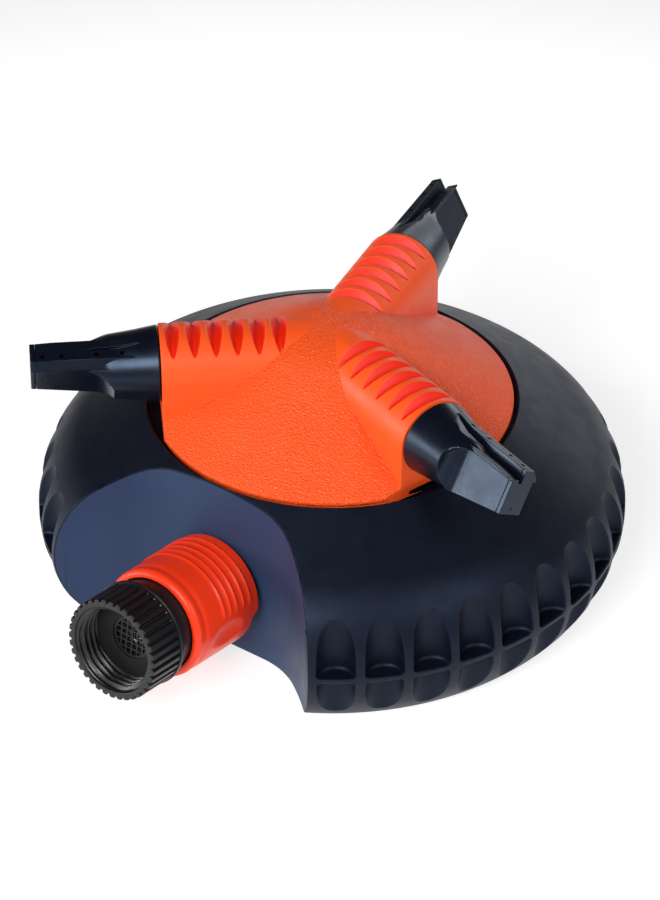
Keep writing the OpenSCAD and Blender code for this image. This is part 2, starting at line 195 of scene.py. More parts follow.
def paint_bay_sheen(material):
    """Painted sheen: a lighter blue painted into the colour of the connector bay's wall, where the mesh's
    face tag is 1.
    """
    grain_and_painted_light = add_node(material, "Attribute")
    grain_and_painted_light.attribute_name = "grain_and_painted_light"
    shader = shader_of(material)
    grained = shader.inputs["Base Color"].links[0].from_socket
    # the lighter blue mixed in here is a painted sheen on the bay wall
    smooth = material.node_tree.nodes.new("ShaderNodeMix")
    smooth.data_type = "RGBA"
    link(material, grain_and_painted_light.outputs["Fac"], smooth.inputs["Factor"])
    link(material, grained, smooth.inputs["A"])
    smooth.inputs["B"].default_value = (0.022, 0.040, 0.090, 1)
    link(material, smooth.outputs["Result"], shader.inputs["Base Color"])


emboss_leather_and_shade_grooves(finishes["rotor_orange"])
# The bay wall gets a painted sheen, a lighter blue in its colour.
paint_bay_sheen(finishes["dome_plastic"])

SLOT_OF = {
    "base_shell": "dome_plastic", "water_manifold": "dome_plastic",
    "manifold_screws": "stainless", "inlet_washer": "seal_rubber",
    "inlet_nipple": "connector_plastic", "nipple_o_ring": "seal_rubber",
    "lower_thrust_washer": "acetal", "upper_thrust_washer": "acetal",
    "riser_clip": "stainless", "rotor_cap": "rotor_orange",
    "rotor_hub": "nozzle_plastic", "hub_cover": "nozzle_plastic",
    "hub_bush": "acetal", "rotary_seal": "seal_rubber",
    "cap_screws": "stainless", "arm_o_rings": "seal_rubber",
    "nozzle_1": "nozzle_plastic", "nozzle_2": "nozzle_plastic", "nozzle_3": "nozzle_plastic",
    "nozzle_cap_1": "nozzle_plastic", "nozzle_cap_2": "nozzle_plastic",
    "nozzle_cap_3": "nozzle_plastic",
    "connector_body": "connector_plastic", "lock_claws": "acetal",
    "tail_piece": "connector_plastic", "stop_plunger": "acetal",
    "plunger_o_ring": "seal_rubber", "plunger_spring": "stainless",
    "collar": "collar_orange", "collar_spring": "stainless",
    "hose_nut": "connector_plastic", "hose_washer": "seal_rubber",
    "inlet_filter": "connector_plastic",
}

for name, slot in SLOT_OF.items():
    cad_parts[name].material_slots[0].material = finishes[slot]


# ---- shaping tools: lengths in millimetres until make_mesh turns them into metres ----

def make_mesh(name, points, faces):
    """An object from points in millimetres, with doubled points joined and flat faces dropped."""
    mesh = bpy.data.meshes.new(name)
    shape = bmesh.new()
    corners = [shape.verts.new(Vector(p) * MM) for p in points]
    for face in faces:
        shape.faces.new([corners[k] for k in face])
    bmesh.ops.remove_doubles(shape, verts=shape.verts, dist=0.003 * MM)
    bmesh.ops.dissolve_degenerate(shape, edges=shape.edges, dist=0.003 * MM)
    bmesh.ops.recalc_face_normals(shape, faces=shape.faces)
    shape.to_mesh(mesh)
    shape.free()
    piece = bpy.data.objects.new(name, mesh)
    bpy.context.scene.collection.objects.link(piece)
    mesh.materials.append(bpy.data.materials.new(name))
    return piece


def grid_faces(rows, columns, close_rows=False):
    """Faces of a grid of points, stored row by row. Each row is a ring, and the rows may close too."""
    faces = []
    for i in range(rows if close_rows else rows - 1):
        for j in range(columns):
            a, b = i * columns, (i + 1) % rows * columns
            k = (j + 1) % columns
            faces.append((a + j, a + k, b + k, b + j))
    return faces


def revolve(name, profile, steps=128):
    """A closed ring, from a closed profile of (radius, height) points."""
    points = [(r * math.cos(t), r * math.sin(t), z)
              for r, z in profile
              for t in np.linspace(0, 2 * math.pi, steps, endpoint=False)]
    return make_mesh(name, points, grid_faces(len(profile), steps, close_rows=True))


def prism(name, outline, bottom, top):
    """An outline of (x, y) points drawn up from bottom to top."""
    n = len(outline)
    points = [(x, y, z) for z in (bottom, top) for x, y in outline]
    faces = grid_faces(2, n) + [tuple(range(n)), tuple(range(2 * n - 1, n - 1, -1))]
    return make_mesh(name, points, faces)


def arc(centre, radius, start, end, steps):
    """Points along an arc, both ends included, with its angles in degrees."""
    return [(centre[0] + radius * math.cos(math.radians(a)), centre[1] + radius * math.sin(math.radians(a)))
            for a in np.linspace(start, end, steps + 1)]


def cut(piece, tool, operation="DIFFERENCE"):
    """Applies a boolean with another object, then removes it. New faces get the tool's own slot."""
    modifier = piece.modifiers.new("cut", "BOOLEAN")
    modifier.operation = operation
    modifier.solver = "EXACT"
    modifier.object = tool
    bpy.context.view_layer.update()
    graph = bpy.context.evaluated_depsgraph_get()
    modifier.material_mode = "TRANSFER"
    bpy.context.view_layer.update()
    mesh = bpy.data.meshes.new_from_object(piece.evaluated_get(graph))
    piece.modifiers.clear()
    piece.data = mesh
    bpy.data.objects.remove(tool)
    return piece


def between(edge, piece, *tools):
    """True for an edge where a cut by one of these tools starts."""
    names = {piece.data.materials[f.material_index].name for f in edge.link_faces}
    return len(names) == 2 and bool(names & set(tools))


def round_edges(piece, width, angle=35, keep=lambda edge: True):
    """Rounds the edges that turn by more than angle."""
    shape = bmesh.new()
    shape.from_mesh(piece.data)
    bmesh.ops.remove_doubles(shape, verts=shape.verts, dist=width * 0.3 * MM)
    bmesh.ops.dissolve_degenerate(shape, edges=shape.edges, dist=0.01 * MM)
    sharp = [e for e in shape.edges
             if len(e.link_faces) == 2 and e.calc_face_angle(0) > math.radians(angle) and keep(e)]
    bmesh.ops.bevel(shape, geom=sharp, offset=width * MM, segments=2, profile=0.5,
                    affect="EDGES", clamp_overlap=False, miter_outer="ARC")
    bmesh.ops.remove_doubles(shape, verts=shape.verts, dist=0.005 * MM)
    shape.to_mesh(piece.data)
    shape.free()


def tag_grain_and_painted_light(piece, grain_and_painted_light):
    """Writes the face tag that the finishes read, by the shape that each face came from: leather grain,
    painted groove shade and the bay wall's painted sheen.
    """
    names = [material.name for material in piece.data.materials]
    values = [grain_and_painted_light.get(names[polygon.material_index], 0.0) for polygon in piece.data.polygons]
    piece.data.attributes.new("grain_and_painted_light", "FLOAT", "FACE").data.foreach_set("value", values)


def finish_piece(piece, slot, body, *nodes, smooth=32):
    """Smooth shading with sharp edges kept, the finish, the body it rides on and the nodes replaced."""
    piece.data.polygons.foreach_set("material_index", [0] * len(piece.data.polygons))
    piece.data.materials.clear()
    piece.data.materials.append(finishes[slot])
    piece.data.shade_smooth()
    piece.data.set_sharp_from_angle(angle=math.radians(smooth))
    piece.modifiers.new("normals", "WEIGHTED_NORMAL").keep_sharp = True
    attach(piece, body)
    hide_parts(*nodes)
    return piece


# ---- dome ----

BELLY_R, BELLY_X, BELLY_Z = 28.7, 61.7, 20.9
POCKET_R, POCKET_RING = 5.9, 90.7
POCKET_PITCH, POCKET_FIRST, POCKETS_A_SIDE = 9.2, 37.4, 16
WEB_TOP, WEB_BOTTOM = 20.0, 18.2
POCKET_FLOOR_ROUND, POCKET_EDGE_ROUND = 1.3, 0.45
LAND_STEPS, EDGE_STEPS, SCOOP_STEPS = 4, 4, 8


def dome_radius(z):
    return BELLY_X + math.sqrt(BELLY_R ** 2 - (z - BELLY_Z) ** 2)


def cell_half(radius, scoop):
    """Half of a rim cell's outline at one height, as (outward, sideways) points from its border inwards.

    radius is the dome's there, and scoop the pocket's own radius, or 0 where there is no pocket."""
    border = math.radians(POCKET_PITCH / 2)
    edge = POCKET_EDGE_ROUND
    inside = radius - edge
    x = (inside ** 2 - (scoop + edge) ** 2 + POCKET_RING ** 2) / (2 * POCKET_RING)
    if scoop <= 0 or inside <= x:
        fan = [border * (1 - k / LAND_STEPS) for k in range(LAND_STEPS + 1)]
        points = [(radius * math.cos(a), radius * math.sin(a)) for a in fan]
        return points + [(radius, 0.0)] * (EDGE_STEPS + SCOOP_STEPS)
    y = math.sqrt(inside ** 2 - x ** 2)
    first = math.atan2(y, x)
    points = []
    for k in range(LAND_STEPS):
        a = border + (first - border) * k / LAND_STEPS
        points.append((radius * math.cos(a), radius * math.sin(a)))
    last = math.atan2(-y, POCKET_RING - x)
    for k in range(EDGE_STEPS):
        a = first + (last - first) * k / EDGE_STEPS
        points.append((x + edge * math.cos(a), y + edge * math.sin(a)))
    a = math.atan2(y + edge * math.sin(last), POCKET_RING - x - edge * math.cos(last))
    for k in range(SCOOP_STEPS + 1):
        b = a * (1 - k / SCOOP_STEPS)
        points.append((POCKET_RING - scoop * math.cos(b), scoop * math.sin(b)))
    return points


def cell_rows():
    """Half outlines of a rim cell with their heights, from above the pockets to the ground."""
    rows = []
    steepest = 84
    foot = POCKET_R - POCKET_FLOOR_ROUND

    def wall(side, start, stop, steps):
        for b in np.linspace(start, stop, steps):
            a = math.radians(b)
            radius = math.hypot(POCKET_RING - POCKET_R * math.cos(a), POCKET_R * math.sin(a))
            z = BELLY_Z + side * math.sqrt(BELLY_R ** 2 - (radius - BELLY_X) ** 2)
            yield z, cell_half(radius, POCKET_R)

    def round_foot(level, side, angles):
        for t in angles:
            a = math.radians(t)
            z = level + side * POCKET_FLOOR_ROUND * (1 - math.cos(a))
            scoop = foot + POCKET_FLOOR_ROUND * math.sin(a)
            yield z, cell_half(dome_radius(z), scoop)

    def shelf(level, side, back):
        """Rows from the foot of the pocket's wall out over the shelf and round its front edge."""
        inner = cell_half(dome_radius(level), foot)
        radius = dome_radius(level)
        outer = [(math.sqrt(radius ** 2 - y ** 2), y) for x, y in inner]
        out = []
        for share in (0.35, 0.7):
            out.append((level, [(x + (ox - x - min(POCKET_EDGE_ROUND, ox - x)) * share, y)
                                for (x, y), (ox, _) in zip(inner, outer)], None))
        for t in (0, 30, 60, 90):
            a = math.radians(t)
            points, drops = [], []
            for (x, y), (ox, _) in zip(inner, outer):
                edge = min(POCKET_EDGE_ROUND, ox - x)
                points.append((ox - edge + edge * math.sin(a), y))
                drops.append(-side * edge * (1 - math.cos(a)))
            out.append((level, points, drops))
        return out[::-1] if back else out

    for z, points in wall(1, 0, steepest, 15):
        if z > WEB_TOP + POCKET_FLOOR_ROUND + 0.3:
            rows.append((z, points, None))
    for z, points in round_foot(WEB_TOP, 1, (90, 70, 50, 32, 15, 0)):
        rows.append((z, points, None))
    rows += shelf(WEB_TOP, 1, False)
    rows += shelf(WEB_BOTTOM, -1, True)
    for z, points in round_foot(WEB_BOTTOM, -1, (0, 15, 32, 50, 70, 90)):
        rows.append((z, points, None))
    for z, points in wall(-1, steepest, 0, 15):
        if z < WEB_BOTTOM - POCKET_FLOOR_ROUND - 0.3:
            rows.append((z, points, None))
    return rows


LIP = [(56.1, 57.0), (56.65, 57.55), (56.78, 57.72), (56.95, 57.77)]
SLOPE_TOP = (57.3, 57.56)
SHOULDER_ANGLE = 60
SHELL_WALL = 2.4
DECK_TOP, DECK_BOTTOM, RECESS_R, RISER_HOLE_R = 54.0, 51.5, 56.0, 12.5
SKIRT_R = 79.4
BAY_WALL_Y, BAY_FLAT = 57.1, 16.5
BAY_TURNS, BAY_ARCS = (34, 48), (26, 86)
INLET_TILT, INLET_HEIGHT = 7.7, 13.6
INLET_HOLE_R, NIPPLE_SEAT_R, NIPPLE_SEAT = 10.8, 12.8, 56.6
BAY_COLUMNS = 60


def full_row(z, half, drops=None):
    """A whole ring of points around the rotor axis, from half a cell's outline."""
    drops = drops or [0.0] * len(half)
    cell = [(x, -y, z + d) for (x, y), d in zip(half, drops)]
    cell += [(x, y, z + d) for (x, y), d in list(zip(half, drops))[-2:0:-1]]
    ring = []
    for k in range(2 * POCKETS_A_SIDE):
        turn = math.radians(-90 + POCKET_FIRST + k * POCKET_PITCH)
        c, s = math.cos(turn), math.sin(turn)
        ring += [(x * c - y * s, x * s + y * c, h) for x, y, h in cell]
    radius = math.hypot(*half[0])
    bay_half = POCKET_FIRST - POCKET_PITCH / 2
    for a in np.linspace(270 - bay_half, 270 + bay_half, BAY_COLUMNS, endpoint=False):
        ring.append((radius * math.cos(math.radians(a)), radius * math.sin(math.radians(a)), z))
    return ring


def bay_outline(inset):
    """Plan of the connector bay, its wall moved into the base by inset."""
    first, second = BAY_ARCS[0] + inset, BAY_ARCS[1] + inset
    centre = (BAY_FLAT, -BAY_WALL_Y - BAY_ARCS[0])
    shift = BAY_ARCS[0] - BAY_ARCS[1]
    turn = math.radians(BAY_TURNS[0])
    far = (centre[0] + shift * math.sin(turn), centre[1] + shift * math.cos(turn))
    side = [(x, y) for x, y in arc(centre, first, 90, 90 - BAY_TURNS[0], 24)]
    side += arc(far, second, 90 - BAY_TURNS[0], 90 - BAY_TURNS[1], 12)[1:]
    last = side[-1]
    end = math.radians(BAY_TURNS[1])
    side += [(last[0] + 40 * math.cos(end), last[1] - 40 * math.sin(end))]
    side += [(side[-1][0], -140)]
    return side + [(-x, y) for x, y in side[::-1]]


INLET = (Matrix.Translation((0, 0, INLET_HEIGHT * MM))
         @ Matrix.Rotation(math.radians(90 - INLET_TILT), 4, "X"))


def inlet_cylinder(name, radius, start, stop):
    piece = revolve(name, [(0.01, start), (radius, start), (radius, stop), (0.01, stop)])
    piece.data.transform(INLET)
    return piece


def make_dome():
    shoulder = arc((BELLY_X, BELLY_Z), BELLY_R, SHOULDER_ANGLE, 37, 6)
    above = [(RISER_HOLE_R, DECK_TOP), (RECESS_R - 0.3, DECK_TOP), (RECESS_R, DECK_TOP + 0.3),
             (RECESS_R, 56.8)] + LIP + [SLOPE_TOP]
    slope_end = shoulder[0]
    above += [(SLOPE_TOP[0] + (slope_end[0] - SLOPE_TOP[0]) * k / 6,
               SLOPE_TOP[1] + (slope_end[1] - SLOPE_TOP[1]) * k / 6) for k in range(1, 6)]
    above += shoulder
    below = arc((BELLY_X, BELLY_Z), BELLY_R, -38, -46.2, 4)
    below += [(81.25, 0.12), (80.9, 0.0), (RISER_HOLE_R, 0.0)]
    rings = [full_row(z, cell_half(r, 0)) for r, z in above]
    rings += [full_row(*row) for row in cell_rows()]
    rings += [full_row(z, cell_half(r, 0)) for r, z in below]
    columns = len(rings[0])
    points = [p for ring in rings for p in ring]
    dome = make_mesh("dome", points, grid_faces(len(rings), columns, close_rows=True))
    hollow = revolve("hollow", [(5, -1), (SKIRT_R, -1), (SKIRT_R, 40)]
                     + arc((BELLY_X, BELLY_Z), BELLY_R - SHELL_WALL, 47.7, SHOULDER_ANGLE, 4)
                     + [(61.53, DECK_BOTTOM), (5, DECK_BOTTOM)])
    cut(hollow, prism("bay_inside", bay_outline(SHELL_WALL), -5, 80))
    cut(dome, hollow)
    cut(dome, prism("bay", bay_outline(0), -5, 80))
    cut(dome, inlet_cylinder("inlet_hole", INLET_HOLE_R, 40, 62))
    cut(dome, inlet_cylinder("nipple_seat", NIPPLE_SEAT_R, NIPPLE_SEAT, 66))
    round_edges(dome, 0.35, keep=lambda edge: between(edge, dome, "bay"))
    # the bay wall's faces are tagged for the painted sheen
    tag_grain_and_painted_light(dome, {"bay": 1.0})
    return finish_piece(dome, "dome_plastic", "base", "base_shell")


make_dome()


# ---- hose nut ----

NUT_BACK, NUT_FLANGE_END, NUT_MOUTH = 95.3, 96.6, 109.2
NUT_RIBS = 36
NUT_BODY_R, NUT_RIB_HEIGHT, NUT_FLANGE_R = 15.1, 0.96, 16.5
THREAD_MINOR_R, THREAD_DEPTH, THREAD_PITCH = 12.25, 1.15, 2.21


def make_hose_nut():
    rib_shape = ((0.0, 0.0), (0.12, 0.0), (0.21, 0.75), (0.29, 1.0), (0.5, 1.03),
                 (0.71, 1.0), (0.79, 0.75), (0.88, 0.0))
    columns = [(2 * math.pi * (k + u) / NUT_RIBS, height)
               for k in range(NUT_RIBS) for u, height in rib_shape]
    rows = [(10.05, NUT_BACK, 0), (16.2, NUT_BACK, 0), (NUT_FLANGE_R, NUT_BACK + 0.3, 0),
            (NUT_FLANGE_R, NUT_FLANGE_END - 0.3, 0), (16.25, NUT_FLANGE_END, 0),
            (15.3, NUT_FLANGE_END + 0.05, 0), (NUT_BODY_R, NUT_FLANGE_END + 0.2, 1),
            (NUT_BODY_R, 100, 1), (NUT_BODY_R, 104, 1), (NUT_BODY_R, NUT_MOUTH - 0.35, 1),
            (NUT_BODY_R - 0.12, NUT_MOUTH - 0.1, 0.93), (NUT_BODY_R - 0.3, NUT_MOUTH, 0.8),
            (13.95, NUT_MOUTH, 0), (13.75, NUT_MOUTH - 0.1, 0), (13.6, NUT_MOUTH - 0.35, 0)]
    points = []
    for base_r, l, rib in rows:
        for a, height in columns:
            r = base_r + NUT_RIB_HEIGHT * rib * height
            points.append((r * math.cos(a), r * math.sin(a), l))
    thread_from, thread_to = NUT_MOUTH - 0.6, 100.2
    steps = 34
    for k in range(steps + 1):
        l = thread_from + (thread_to - thread_from) * k / steps
        fade = min(1.0, k / 4)
        for a, _ in columns:
            wave = abs(2 * ((l / THREAD_PITCH - a / (2 * math.pi)) % 1.0) - 1)
            root = THREAD_DEPTH * min(1.0, max(0.0, (wave - 0.22) / 0.56))
            r = THREAD_MINOR_R + root * fade + 1.3 * (1 - fade)
            points.append((r * math.cos(a), r * math.sin(a), l))
    tail = [(12.7, 99.9), (12.7, NUT_BACK + 1.5), (10.05, NUT_BACK + 1.5)]
    points += [(r * math.cos(a), r * math.sin(a), l) for r, l in tail for a, _ in columns]
    faces = grid_faces(len(rows) + steps + 1 + len(tail), len(columns), close_rows=True)
    nut = make_mesh("knurled_hose_nut", points, faces)
    nut.data.transform(INLET)
    return finish_piece(nut, "connector_plastic", "hose_nut", "hose_nut")


# ---- sliding collar ----

COLLAR_R, COLLAR_FAR, COLLAR_NEAR = 17.3, 60.5, 89.8
COLLAR_RIDGES, RIDGE_FROM, RIDGE_PITCH, RIDGE_HEIGHT = 5, 64.6, 3.1, 0.42
THUMB_PLACE, THUMB_ANGLE, THUMB_HALF, THUMB_HALF_ANGLE, THUMB_DEPTH = 75, -8, 7.6, 15, 1.25
BEAD_PLACE, BEAD_WIDTH, BEAD_DEPTH = 85.9, 1.0, 0.3
SPRING_SEAT = 66


def smooth_step(x):
    x = min(1.0, max(0.0, x))
    return x * x * (3 - 2 * x)


def collar_radius(angle, l):
    """Outside radius of the collar, angle in degrees from +X towards the top."""
    side = angle if angle <= 90 else 180 - angle
    ridge = sum(math.exp(-((l - RIDGE_FROM - k * RIDGE_PITCH) / 0.42) ** 2) for k in range(COLLAR_RIDGES))
    ridge *= RIDGE_HEIGHT * smooth_step((side - 8) / 10)
    bead = BEAD_DEPTH * math.exp(-((l - BEAD_PLACE) / BEAD_WIDTH) ** 2)
    d = ((l - THUMB_PLACE) / THUMB_HALF) ** 2 + ((side - THUMB_ANGLE) / THUMB_HALF_ANGLE) ** 2
    thumb = THUMB_DEPTH * (1 - d) if d < 1 else 0.0
    return COLLAR_R - bead + ridge - thumb


def make_collar():
    angles = [-90 + 2 * k for k in range(180)]
    outer = [0.35 + 0.46 * k for k in range(58)]
    points = []

    def ring(radius_of, l, far_share):
        """One ring of points. The lower half of the far end is cut back, by far_share of the step."""
        for a in angles:
            side = a if a <= 90 else 180 - a
            place = l + far_share * 2.5 * (1 - smooth_step((side + 8) / 7))
            r = radius_of(a, place)
            points.append((r * math.cos(math.radians(a)), r * math.sin(math.radians(a)), place))

    rows = 0
    for r, l, share in ((14.08, SPRING_SEAT, 0), (14.08, COLLAR_FAR + 0.3, 1), (14.4, COLLAR_FAR, 1),
                        (16.6, COLLAR_FAR, 1), (17.0, COLLAR_FAR + 0.1, 1)):
        ring(lambda a, p, r=r: r, l, share)
        rows += 1
    for step in outer:
        ring(collar_radius, COLLAR_FAR + step, max(0.0, 1 - step / 7))
        rows += 1
    rim = 1.9
    for t in (0, 15, 30, 45, 60, 75, 90):
        a = math.radians(t)
        r, l = COLLAR_R - rim + rim * math.cos(a), COLLAR_NEAR - rim + rim * math.sin(a)
        ring(lambda a, p, r=r: r, l, 0)
        rows += 1
    inner_end = ((15.1, COLLAR_NEAR - 0.05), (14.95, COLLAR_NEAR - 0.4),
                 (15.6, COLLAR_NEAR - 1.5), (15.6, SPRING_SEAT))
    for r, l in inner_end:
        ring(lambda a, p, r=r: r, l, 0)
        rows += 1
    collar = make_mesh("sliding_collar", points, grid_faces(rows, len(angles), close_rows=True))
    collar.data.transform(INLET)
    return finish_piece(collar, "collar_orange", "collar", "collar")


# ---- springs ----

def make_spring(name, radius, wire, start, stop, turns, slot, body, node):
    """A coil of round wire with a flat dead turn at each end, along the inlet."""
    steps, sides = 40, 10
    dead = 1.0
    total = int((turns + 2 * dead) * steps)
    points = []
    for k in range(total + 1):
        turn = k / steps
        share = smooth_step((turn - dead * 0.5) / (turns + dead))
        l = start + wire / 2 + (stop - start - wire) * share
        a = 2 * math.pi * turn
        for j in range(sides):
            b = 2 * math.pi * j / sides
            r = radius + wire / 2 * math.cos(b)
            points.append((r * math.cos(a), r * math.sin(a), l + wire / 2 * math.sin(b)))
    faces = grid_faces(total + 1, sides)
    faces += [tuple(range(sides)), tuple(range(total * sides + sides - 1, total * sides - 1, -1))]
    spring = make_mesh(name, points, faces)
    spring.data.transform(INLET)
    return finish_piece(spring, slot, body, node)


# ---- nozzles: local +X is the rail side, local +Z runs out along the arm ----

ARM_HEIGHT, FIRST_ARM, NOZZLE_LEAN = 73.3, 102, 26
NOZZLE_ROOT, NOZZLE_TIP, NOZZLE_CAP_T = 52.5, 91.1, 1.6
BLADE_HALF, BLADE_BLANK_HALF = 4.1, 5.1
SCOOP_FROM, SCOOP_R, SCOOP_TOP, SCOOP_CORNER = 71.5, 5, 6.2, 7
RAIL_SIDES, RAIL_TOP, RAIL_GROOVE = (-2.95, 0.35), 9.9, 1.2
SPIGOT_R, NOZZLE_BORE_R, CHANNEL_R, PLUG_R = 7.92, 5.05, 3.2, 3.1
GATE_R, GATE_PLACE = 0.45, (-2.6, 0.4)
JET_PLACES, JET_R = (63.5, 71.2, 81.6, 87.4), 0.7


def side_prism(name, outline, y0, y1):
    """An outline of (height, distance along the arm) points, drawn sideways from y0 to y1."""
    piece = prism(name, outline, y0, y1)
    piece.data.transform(Matrix(((1, 0, 0, 0), (0, 0, 1, 0), (0, 1, 0, 0), (0, 0, 0, 1))))
    piece.data.flip_normals()
    return piece


def plan_prism(name, outline, x0, x1):
    """An outline of (distance along the arm, sideways) points, drawn upwards from x0 to x1."""
    piece = prism(name, outline, x0, x1)
    piece.data.transform(Matrix(((0, 0, 1, 0), (0, 1, 0, 0), (1, 0, 0, 0), (0, 0, 0, 1))))
    piece.data.flip_normals()
    return piece


def rod(name, radius, start, stop, steps=32):
    """A round bar along local +Z."""
    outline = [(radius * math.cos(t), radius * math.sin(t))
               for t in np.linspace(0, 2 * math.pi, steps, endpoint=False)]
    return prism(name, outline, start, stop)


def make_nozzle_outside(name):
    end = NOZZLE_TIP + 5
    cone_end = NOZZLE_TIP - 0.01
    cone = [(0.01, NOZZLE_ROOT), (11.55, NOZZLE_ROOT), (11.8, NOZZLE_ROOT + 0.25), (10.7, 59.5),
            (9.7, 67.5), (7.75, 75.5), (4.3, cone_end), (0.01, cone_end)]
    body = revolve(name, cone, 96)
    blade = [(7.3, 66.9), (7.3, NOZZLE_TIP), (-4.5, NOZZLE_TIP), (-8.9, 69.2), (-8.0, 66.9)]
    cut(body, side_prism("blade", blade, -BLADE_BLANK_HALF, BLADE_BLANK_HALF), "UNION")
    low_side, high_side = RAIL_SIDES
    rail = [(0, -BLADE_BLANK_HALF), (7.34, -BLADE_BLANK_HALF), (RAIL_TOP, low_side),
            (RAIL_TOP, high_side), (0, high_side)]
    cut(body, prism("rail", rail, 61, NOZZLE_TIP), "UNION")
    bend = arc((SCOOP_FROM, BLADE_HALF + SCOOP_R), SCOOP_R, -90, -180, 12)
    scoop_start = SCOOP_FROM - SCOOP_R
    scoop = [(end, BLADE_HALF)] + bend + [(scoop_start, 20), (end, 20)]
    corner = (SCOOP_TOP - SCOOP_CORNER, scoop_start + SCOOP_CORNER - 0.6)
    window = [(-20, end), (-20, scoop_start - 1)]
    window += arc(corner, SCOOP_CORNER, -90, 0, 10) + [(SCOOP_TOP, end)]
    for side in (1, -1):
        tool = plan_prism("scoop", [(l, side * y) for l, y in scoop], -20, 20)
        cut(tool, side_prism("window", window, -25, 25), "INTERSECT")
        cut(body, tool)
    past_tip = NOZZLE_TIP + 1
    shoulder = [(11.6, 56), (8.8, 65), (6.7, past_tip), (30, past_tip), (30, 56)]
    cut(body, side_prism("step", shoulder, high_side, 20))
    groove = [(10.6, 58), (7.8, 65), (5.6, past_tip), (30, past_tip), (30, 58)]
    cut(body, side_prism("groove", groove, high_side, high_side + RAIL_GROOVE))
    return body


def slab(name, start, stop):
    return prism(name, [(-30, -30), (30, -30), (30, 30), (-30, 30)], start, stop)


def arm_place(n, lean=0.0):
    """From an arm's own directions to the base: local +X up before the lean, local +Z out along the arm."""
    return (Matrix.Translation((0, 0, ARM_HEIGHT * MM))
            @ Matrix.Rotation(math.radians(FIRST_ARM + 120 * n), 4, "Z")
            @ Matrix.Rotation(math.radians(90), 4, "Y")
            @ Matrix.Rotation(math.radians(180 - lean), 4, "Z"))


def copy_of(pattern, name, place):
    piece = bpy.data.objects.new(name, pattern.data.copy())
    bpy.context.scene.collection.objects.link(piece)
    piece.data.transform(place)
    return piece


def make_nozzles():
    seam = NOZZLE_TIP - NOZZLE_CAP_T
    body = make_nozzle_outside("nozzle_body")
    cut(body, slab("beyond", seam - 0.01, NOZZLE_TIP + 9))
    round_edges(body, 0.28, angle=28)
    cut(body, rod("spigot", SPIGOT_R, 46, NOZZLE_ROOT + 1, 64), "UNION")
    cut(body, rod("bore", NOZZLE_BORE_R, 40, JET_PLACES[0], 64))
    cut(body, rod("channel", CHANNEL_R, 60, NOZZLE_TIP + 1))
    for place in JET_PLACES:
        jet = rod("jet", JET_R, 0, 20, 20)
        jet.data.transform(Matrix.Translation((0, sum(RAIL_SIDES) / 2 * MM, place * MM))
                           @ Matrix.Rotation(math.radians(90), 4, "Y"))
        cut(body, jet)
    cap = make_nozzle_outside("nozzle_end_cap")
    cut(cap, slab("inner", 40, seam + 0.01))
    round_edges(cap, 0.22, angle=28)
    cut(cap, rod("plug", PLUG_R, seam - 1, NOZZLE_TIP - 0.5), "UNION")
    gate = rod("gate", GATE_R, NOZZLE_TIP - 0.2, NOZZLE_TIP + 1, 20)
    gate.data.transform(Matrix.Translation(Vector((*GATE_PLACE, 0)) * MM))
    cut(cap, gate)
    for n in range(3):
        for pattern, node in ((body, "nozzle"), (cap, "nozzle_cap")):
            piece = copy_of(pattern, f"{pattern.name}_{n + 1}", arm_place(n, NOZZLE_LEAN))
            finish_piece(piece, "nozzle_plastic", f"nozzle_{n + 1}", f"{node}_{n + 1}")
    bpy.data.objects.remove(body)
    bpy.data.objects.remove(cap)


# ---- rotor cover ----

DISC_R, DISC_EDGE_Z, CONE_RISE, CROWN_EDGE = 55.2, 58.4, 0.626, 21
COVER_WALL, COVER_FLOOR = 2.2, 55.2
RIM_FACE, UNDERCUT = 1.1, 0.8
SOCKET_R, SOCKET_END, SOCKET_BORE = 12.2, 52.2, 8
GROOVES, GROOVE_PITCH, FIRST_GROOVE = 6, 6.45, 48.4
GROOVE_DEPTH, GROOVE_HALF, GROOVE_CURVE, GROOVE_SWEEP = 2.75, 2.4, 26.35, 21.4
GROOVE_FLOOR_HALF = 0.35


def cover_profile(inset, floor):
    """Section of the cone and its domed crown, moved in by inset, and closed at floor."""
    slope = math.atan(CONE_RISE)
    centre = DISC_EDGE_Z + (DISC_R - CROWN_EDGE) * CONE_RISE - CROWN_EDGE / CONE_RISE
    crown = arc((0, centre), CROWN_EDGE / math.sin(slope) - inset, 90, 90 - math.degrees(slope), 24)
    join = crown[-1]
    edge = DISC_R - inset
    edge_z = DISC_EDGE_Z + inset * CONE_RISE - inset / math.cos(slope)
    cone = [(join[0] + (edge - join[0]) * k / 10, join[1] + (edge_z - join[1]) * k / 10)
            for k in range(1, 11)]
    rim = [(edge, edge_z - RIM_FACE), (edge - UNDERCUT, edge_z - RIM_FACE - UNDERCUT),
           (edge - UNDERCUT, floor)]
    return [(0.01, crown[0][1])] + crown[1:] + cone + rim + [(0.01, floor)]


def grip_grooves():
    """The crescent grooves of one socket, as V-section bars bent about a line across the arm."""
    over = 0.6
    reach = GROOVE_DEPTH + over
    mouth = GROOVE_HALF * reach / GROOVE_DEPTH
    section = ((0, -GROOVE_FLOOR_HALF), (0, GROOVE_FLOOR_HALF), (reach, mouth), (reach, -mouth))
    turns = np.linspace(-GROOVE_SWEEP, GROOVE_SWEEP, 21)
    points, faces = [], []
    for k in range(GROOVES):
        first = len(points)
        for t in turns:
            c, s = math.cos(math.radians(t)), math.sin(math.radians(t))
            for d, side in section:
                r = GROOVE_CURVE + d
                points.append((SOCKET_R - GROOVE_DEPTH - GROOVE_CURVE + r * c, r * s,
                               FIRST_GROOVE - k * GROOVE_PITCH + side))
        faces += [tuple(first + f for f in face) for face in grid_faces(len(turns), len(section))]
        last = len(points) - len(section)
        faces += [tuple(range(first, first + 4)), tuple(range(last + 3, last - 1, -1))]
    return make_mesh("groove", points, faces)


